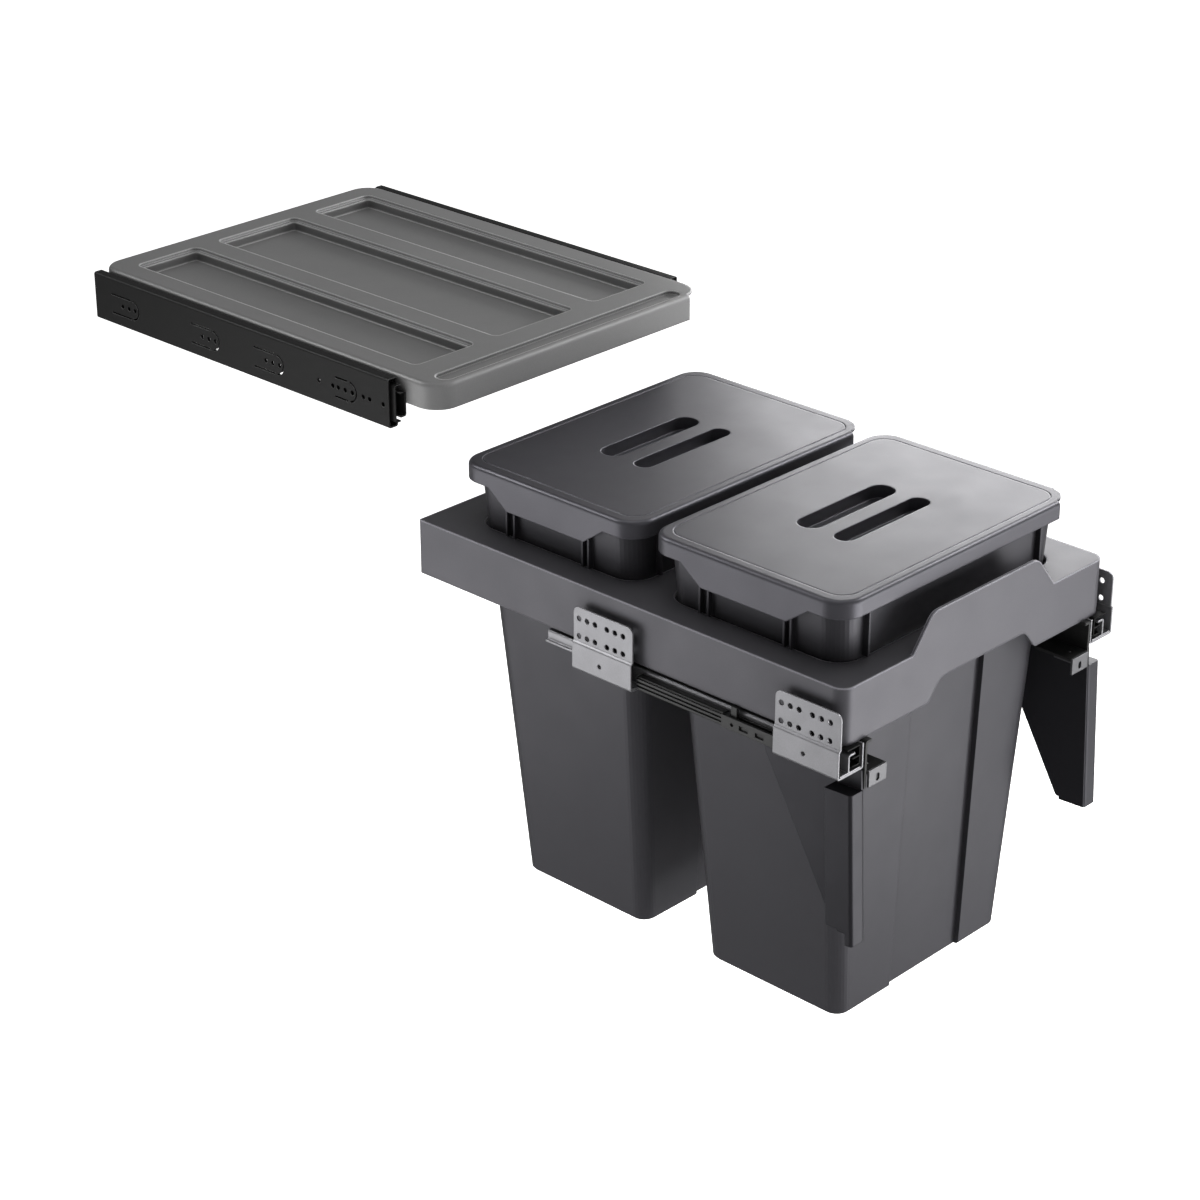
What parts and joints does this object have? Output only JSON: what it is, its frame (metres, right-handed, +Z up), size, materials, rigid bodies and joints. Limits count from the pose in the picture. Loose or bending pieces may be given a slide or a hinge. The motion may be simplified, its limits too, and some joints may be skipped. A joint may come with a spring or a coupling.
{
  "type": "pull-out waste bin",
  "caption": "Pull-out cabinet waste bin: lidded tapered bins in a frame on under-mounted rails with door arms, and a sliding tray lid on ball slides.",
  "frame": {"origin": "centre of the left front bracket's fixing holes, on the outer face of its upper plate", "axes": "+X to the right across the cabinet, +Y from the door to the rear, +Z up"},
  "size_m": [0.364, 0.917, 0.4725],
  "materials": {
    "zinc": "zinc plated, satin",
    "black_steel": "black electrophoretic coat, semi-gloss",
    "black_plastic": "fine matt",
    "glide_plastic": "smooth",
    "screw_steel": "bright",
    "frame_plastic": "satin anthracite",
    "bin_plastic": "satin anthracite",
    "lid_plastic": "satin anthracite",
    "shelf_plastic": "satin anthracite",
    "wing_plastic": "satin anthracite"
  },
  "bodies": {
    "cabinet_parts": {"bracket_front_left": "zinc", "bracket_front_right": "zinc", "bracket_rear_left": "zinc", "bracket_rear_right": "zinc", "cabinet_rail_left": "zinc", "cabinet_rail_right": "zinc", "rail_rivets": "zinc", "soft_close_left": "black_plastic", "soft_close_right": "black_plastic", "shelf_outer_rail_left": "black_steel", "shelf_outer_rail_right": "black_steel"},
    "carriage": {"bin_frame": "frame_plastic", "drawer_rail_left": "black_steel", "drawer_rail_right": "black_steel", "drawer_glides": "glide_plastic", "catch_hook_left": "black_plastic", "catch_hook_right": "black_plastic", "rail_screws": "screw_steel", "door_arm_left": "black_steel", "door_arm_right": "black_steel", "slotted_tab_left": "zinc", "slotted_tab_right": "zinc", "door_wing_left": "wing_plastic", "door_wing_right": "wing_plastic", "arm_screws": "screw_steel"},
    "left_middle_rail": {"middle_rail_left": "black_steel", "middle_glides_left": "glide_plastic"},
    "right_middle_rail": {"middle_rail_right": "black_steel", "middle_glides_right": "glide_plastic"},
    "front_bin": {"front_bin": "bin_plastic"},
    "front_bin_lid": {"front_bin_lid": "lid_plastic"},
    "rear_bin": {"rear_bin": "bin_plastic"},
    "rear_bin_lid": {"rear_bin_lid": "lid_plastic"},
    "shelf": {"shelf_lid": "shelf_plastic", "shelf_inner_rail_left": "black_steel", "shelf_inner_rail_right": "black_steel", "shelf_screws": "screw_steel"},
    "left_shelf_middle_rail": {"shelf_middle_rail_left": "black_steel"},
    "right_shelf_middle_rail": {"shelf_middle_rail_right": "black_steel"},
    "left_shelf_outer_balls": {"shelf_outer_balls_left": "screw_steel"},
    "right_shelf_outer_balls": {"shelf_outer_balls_right": "screw_steel"},
    "left_shelf_inner_balls": {"shelf_inner_balls_left": "screw_steel"},
    "right_shelf_inner_balls": {"shelf_inner_balls_right": "screw_steel"}
  },
  "joints": [
    {"name": "carriage_slide", "type": "slide", "parent": "cabinet_parts", "child": "carriage", "axis": [0, -1, 0], "range_m": [0, 0.32]},
    {"name": "left_middle_rail_slide", "type": "slide", "parent": "cabinet_parts", "child": "left_middle_rail", "axis": [0, -1, 0], "range_m": [0, 0.16]},
    {"name": "right_middle_rail_slide", "type": "slide", "parent": "cabinet_parts", "child": "right_middle_rail", "axis": [0, -1, 0], "range_m": [0, 0.16]},
    {"name": "front_bin_lift", "type": "slide", "parent": "carriage", "child": "front_bin", "axis": [0, 0, 1], "range_m": [0, 0.38]},
    {"name": "front_bin_lid_lift", "type": "slide", "parent": "front_bin", "child": "front_bin_lid", "axis": [0, 0, 1], "range_m": [0, 0.1]},
    {"name": "rear_bin_lift", "type": "slide", "parent": "carriage", "child": "rear_bin", "axis": [0, 0, 1], "range_m": [0, 0.38]},
    {"name": "rear_bin_lid_lift", "type": "slide", "parent": "rear_bin", "child": "rear_bin_lid", "axis": [0, 0, 1], "range_m": [0, 0.1]},
    {"name": "shelf_slide", "type": "slide", "parent": "cabinet_parts", "child": "shelf", "axis": [0, -1, 0], "range_m": [0, 0.3]},
    {"name": "left_shelf_middle_rail_slide", "type": "slide", "parent": "cabinet_parts", "child": "left_shelf_middle_rail", "axis": [0, -1, 0], "range_m": [0, 0.15]},
    {"name": "left_shelf_outer_balls_slide", "type": "slide", "parent": "cabinet_parts", "child": "left_shelf_outer_balls", "axis": [0, -1, 0], "range_m": [0, 0.075]},
    {"name": "left_shelf_inner_balls_slide", "type": "slide", "parent": "cabinet_parts", "child": "left_shelf_inner_balls", "axis": [0, -1, 0], "range_m": [0, 0.225]},
    {"name": "right_shelf_middle_rail_slide", "type": "slide", "parent": "cabinet_parts", "child": "right_shelf_middle_rail", "axis": [0, -1, 0], "range_m": [0, 0.15]},
    {"name": "right_shelf_outer_balls_slide", "type": "slide", "parent": "cabinet_parts", "child": "right_shelf_outer_balls", "axis": [0, -1, 0], "range_m": [0, 0.075]},
    {"name": "right_shelf_inner_balls_slide", "type": "slide", "parent": "cabinet_parts", "child": "right_shelf_inner_balls", "axis": [0, -1, 0], "range_m": [0, 0.225]}
  ],
  "couplings": [
    {"joint": "left_middle_rail_slide", "follows": "carriage_slide", "ratio": 0.5},
    {"joint": "right_middle_rail_slide", "follows": "carriage_slide", "ratio": 0.5},
    {"joint": "left_shelf_middle_rail_slide", "follows": "shelf_slide", "ratio": 0.5},
    {"joint": "left_shelf_outer_balls_slide", "follows": "shelf_slide", "ratio": 0.25},
    {"joint": "left_shelf_inner_balls_slide", "follows": "shelf_slide", "ratio": 0.75},
    {"joint": "right_shelf_middle_rail_slide", "follows": "shelf_slide", "ratio": 0.5},
    {"joint": "right_shelf_outer_balls_slide", "follows": "shelf_slide", "ratio": 0.25},
    {"joint": "right_shelf_inner_balls_slide", "follows": "shelf_slide", "ratio": 0.75}
  ]
}
